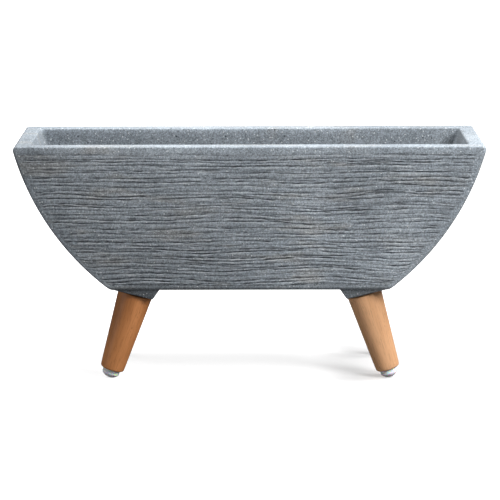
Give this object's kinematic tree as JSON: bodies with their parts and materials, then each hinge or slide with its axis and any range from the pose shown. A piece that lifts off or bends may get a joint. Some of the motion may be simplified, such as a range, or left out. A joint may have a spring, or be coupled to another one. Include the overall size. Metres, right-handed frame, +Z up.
{
  "type": "raised planter",
  "caption": "Rectangular open-topped trough with arc-shaped ends, raised on splayed tapered wooden legs that screw into bosses under its floor, with a plugged drain hole.",
  "frame": {"origin": "on the floor, under the centre of the trough", "axes": "+X along the trough, -Y out of the front face, +Z up"},
  "size_m": [0.5, 0.16, 0.2561],
  "materials": {
    "fibre_clay": "matte",
    "plug_rubber": "matte",
    "insert_brass": "satin",
    "washer_rubber": "matte",
    "beech": "satin",
    "zinc_steel": "satin",
    "nylon": "satin",
    "nail_steel": "satin"
  },
  "bodies": {
    "trough": {"trough": "fibre_clay", "threaded_insert_front_left": "insert_brass", "threaded_insert_front_right": "insert_brass", "threaded_insert_back_left": "insert_brass", "threaded_insert_back_right": "insert_brass"},
    "plug": {"drain_plug": "plug_rubber"},
    "spacer_front_left": {"washer_front_left": "washer_rubber"},
    "leg_front_left": {"leg_front_left": "beech", "hanger_bolt_front_left": "zinc_steel", "glide_front_left": "nylon", "glide_nail_front_left": "nail_steel"},
    "spacer_front_right": {"washer_front_right": "washer_rubber"},
    "leg_front_right": {"leg_front_right": "beech", "hanger_bolt_front_right": "zinc_steel", "glide_front_right": "nylon", "glide_nail_front_right": "nail_steel"},
    "spacer_back_left": {"washer_back_left": "washer_rubber"},
    "leg_back_left": {"leg_back_left": "beech", "hanger_bolt_back_left": "zinc_steel", "glide_back_left": "nylon", "glide_nail_back_left": "nail_steel"},
    "spacer_back_right": {"washer_back_right": "washer_rubber"},
    "leg_back_right": {"leg_back_right": "beech", "hanger_bolt_back_right": "zinc_steel", "glide_back_right": "nylon", "glide_nail_back_right": "nail_steel"}
  },
  "joints": [
    {"name": "unscrew_front_left", "type": "slide", "parent": "trough", "child": "spacer_front_left", "axis": [-0.3007, 0, -0.9537], "range_m": [0, 0.0175]},
    {"name": "turn_front_left", "type": "hinge", "parent": "spacer_front_left", "child": "leg_front_left", "pos_m": [-0.1225, -0.052, 0.09546], "axis": [-0.3007, 0, -0.9537], "range_deg": [0, 5040]},
    {"name": "unscrew_front_right", "type": "slide", "parent": "trough", "child": "spacer_front_right", "axis": [0.3007, 0, -0.9537], "range_m": [0, 0.0175]},
    {"name": "turn_front_right", "type": "hinge", "parent": "spacer_front_right", "child": "leg_front_right", "pos_m": [0.1225, -0.052, 0.09546], "axis": [0.3007, 0, -0.9537], "range_deg": [0, 5040]},
    {"name": "unscrew_back_left", "type": "slide", "parent": "trough", "child": "spacer_back_left", "axis": [-0.3007, 0, -0.9537], "range_m": [0, 0.0175]},
    {"name": "turn_back_left", "type": "hinge", "parent": "spacer_back_left", "child": "leg_back_left", "pos_m": [-0.1225, 0.052, 0.09546], "axis": [-0.3007, 0, -0.9537], "range_deg": [0, 5040]},
    {"name": "unscrew_back_right", "type": "slide", "parent": "trough", "child": "spacer_back_right", "axis": [0.3007, 0, -0.9537], "range_m": [0, 0.0175]},
    {"name": "turn_back_right", "type": "hinge", "parent": "spacer_back_right", "child": "leg_back_right", "pos_m": [0.1225, 0.052, 0.09546], "axis": [0.3007, 0, -0.9537], "range_deg": [0, 5040]},
    {"name": "pull_plug", "type": "slide", "parent": "trough", "child": "plug", "axis": [0, 0, -1], "range_m": [0, 0.03]}
  ],
  "couplings": [
    {"joint": "unscrew_front_left", "follows": "turn_front_left", "m_per_rad": 0.00019894},
    {"joint": "unscrew_front_right", "follows": "turn_front_right", "m_per_rad": 0.00019894},
    {"joint": "unscrew_back_left", "follows": "turn_back_left", "m_per_rad": 0.00019894},
    {"joint": "unscrew_back_right", "follows": "turn_back_right", "m_per_rad": 0.00019894}
  ]
}
